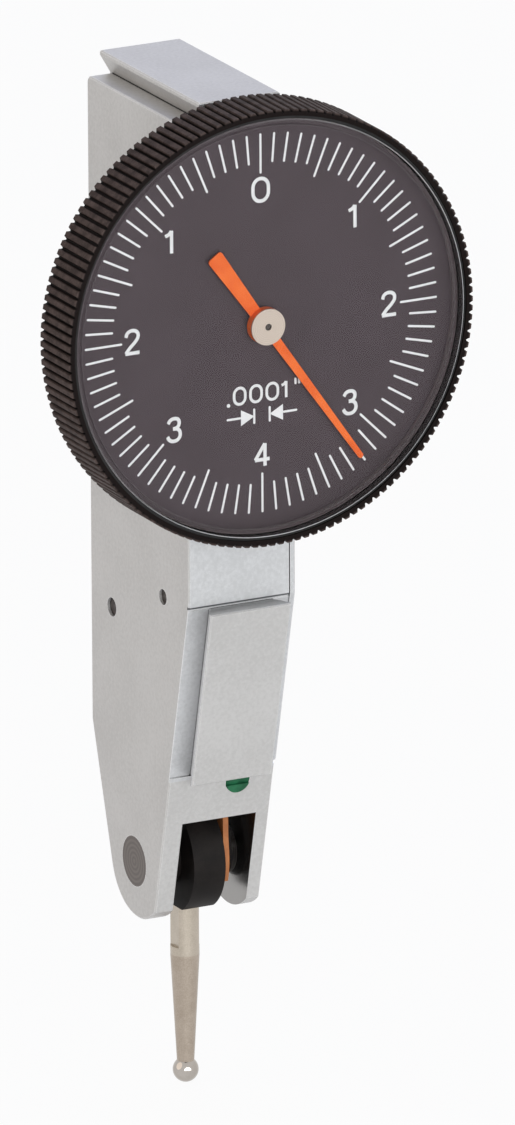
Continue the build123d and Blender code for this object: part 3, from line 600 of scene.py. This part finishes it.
# Legend: the value of one division over two arrows
legend = {"rise": -6.1, "height": 1.68, "pen": 0.26, "places": [("0", -2.09), ("0", -0.55), ("0", 0.99), ("1", 2.1)],
          "dot": (-3.15, -6.8, 0.32), "ticks": (3.18, 3.52), "tickRise": -5.5, "tick": (0.2, 0.58),
          "arrowRise": -8.05, "tip": 0.73, "headBack": 1.98, "headHalf": 0.69, "tailEnd": 3.33, "line": 0.19,
          "barHalf": 0.68}


def arrowHead(x, z, length, half, side):  # a plate whose inner corners meet in the tip
    head = flatPlate(x, z, length, 2 * half, "arrow")
    for corner in head.data.vertices:
        corner.select = (corner.co.x - dialCentre.x - x * mm) * side < 0
    for edge in head.data.edges:
        edge.select = all(head.data.vertices[index].select for index in edge.vertices)
    for face in head.data.polygons:
        face.select = False
    bpy.ops.object.mode_set(mode="EDIT")
    bpy.ops.mesh.select_mode(type="VERT")
    bpy.ops.mesh.merge(type="CENTER")
    bpy.ops.object.mode_set(mode="OBJECT")
    raiseFilm()
    return head


def dialLegend(plan):
    made = [figure(text, x, plan["rise"], plan["height"], plan["pen"], "legend") for text, x in plan["places"]]
    dotX, dotZ, dotSize = plan["dot"]
    made.append(roundEndedBar(dotX, dotZ, dotSize, dotSize, "legend"))
    made += [roundEndedBar(x, plan["tickRise"], *plan["tick"], "legend") for x in plan["ticks"]]
    reach = plan["headBack"] - plan["tip"]
    tail = plan["tailEnd"] - plan["headBack"]
    z = plan["arrowRise"]
    for side in (-1, 1):
        made.append(arrowHead(side * (plan["tip"] + reach / 2), z, reach, plan["headHalf"], side))
        made.append(roundEndedBar(side * (plan["headBack"] + tail / 2), z, tail, plan["line"], "arrow"))
        made.append(roundEndedBar(side * plan["tip"], z, plan["line"], 2 * plan["barHalf"], "arrow"))
    return joined(made, "dial_legend")


printed(dialLegend(legend))
print("legend printed")


# Floor, light and camera
def seenRays(tree):  # 1 for what shows by itself, in a reflection or through the crystal
    rays = tree.nodes.new("ShaderNodeLightPath").outputs
    camera, glossy, through = (Wire(tree, rays[f"Is {kind} Ray"]) for kind in ("Camera", "Glossy", "Transmission"))
    seen = camera + glossy + through
    return seen.maths("MINIMUM", seen, 1.0)


floorLook = {"size": 8.0, "drop": 0.02, "colour": (0.85, 0.85, 0.85), "rough": 0.9, "gloss": 0.1, "glow": 0.94}


def layFloor(look):
    letGo()
    bpy.ops.mesh.primitive_plane_add(size=look["size"], location=(0, 0, cadLow.z - look["drop"] * mm))
    floor = settle(bpy.context.object, "floor")
    finish, tree, shader, place = newFinish("paleFloor")
    join(tree, shader, {"Base Color": solid(look["colour"]), "Roughness": look["rough"],
                        "Specular IOR Level": look["gloss"]})
    glow = place.node("ShaderNodeEmission", {}, {"Color": (1, 1, 1, 1), "Strength": 1.0})
    both = place.node("ShaderNodeMixShader", {}, {0: seenRays(tree) * look["glow"], 1: Wire(tree, shader.outputs[0]),
                                                  2: glow})
    join(tree, tree.nodes["Material Output"], {"Surface": both})
    floor.data.materials.append(finish)


layFloor(floorLook)

skyLook = {"light": (0.98, 0.99, 1.0), "seen": (1, 1, 1), "level": 0.40}


def paintSky(look):  # white where it shows, softer where it only lights
    sky = bpy.data.worlds.new("softSky")
    scene.world = sky
    sky.use_nodes = True
    tree = sky.node_tree
    seen = seenRays(tree)
    join(tree, tree.nodes["Background"], {"Color": blend(seen, look["light"], look["seen"]),
                                          "Strength": seen * (1 - look["level"]) + look["level"]})


paintSky(skyLook)

lampTarget = Vector((0, 0, -0.040))
lamps = [
    {"name": "frontLamp", "place": (-0.10, -0.66, -0.10), "size": 0.80, "power": 6.2, "colour": (0.96, 0.99, 1.0)},
    {"name": "topLamp", "place": (0.20, 0.32, 0.55), "size": 0.60, "power": 1.15, "colour": (0.45, 0.55, 1.0)},
    {"name": "leftLamp", "place": (-0.60, 0.10, 0.25), "size": 0.75, "power": 0.85, "colour": (1.0, 0.80, 0.62)},
]


def hangLamp(look):
    letGo()
    bpy.ops.object.light_add(type="AREA", location=look["place"])
    lamp = bpy.context.object
    lamp.name = look["name"]
    lamp.data.shape = "DISK"
    lamp.data.size = look["size"]
    lamp.data.energy = look["power"]
    lamp.data.color = look["colour"]
    lamp.rotation_euler = (Vector(look["place"]) - lampTarget).to_track_quat("Z", "Y").to_euler()


for lampLook in lamps:
    hangLamp(lampLook)

# Angles in degrees, lengths in millimetres, apart from the far clip in metres
cameraLook = {"aim": (0.0, -2.04, -44.0), "azimuth": -26.9875, "elevation": 17.256, "roll": -0.3326,
              "toRight": 4.5561, "toTop": 1.1379, "viewHeight": 95.2728, "distance": 2000.0, "farClip": 50.0}


def setCamera(look):
    turn, lift, roll = (radians(look[name]) for name in ("azimuth", "elevation", "roll"))
    back = Vector((sin(turn) * cos(lift), -cos(turn) * cos(lift), sin(lift)))
    level = Vector((cos(turn), sin(turn), 0))
    upright = back.cross(level)
    right = level * cos(roll) + upright * sin(roll)
    up = upright * cos(roll) - level * sin(roll)
    centre = Vector(look["aim"]) + right * look["toRight"] + up * look["toTop"]
    letGo()
    bpy.ops.object.camera_add()
    camera = bpy.context.object
    camera.data.lens = camera.data.sensor_width * look["distance"] / look["viewHeight"]
    camera.data.clip_end = look["farClip"]
    facing = Matrix((right, up, back)).transposed().to_4x4()
    camera.matrix_world = Matrix.Translation((centre + back * look["distance"]) * mm) @ facing
    scene.camera = camera


setCamera(cameraLook)
scene.view_settings.view_transform = "Standard"
print("floor, light and camera set")
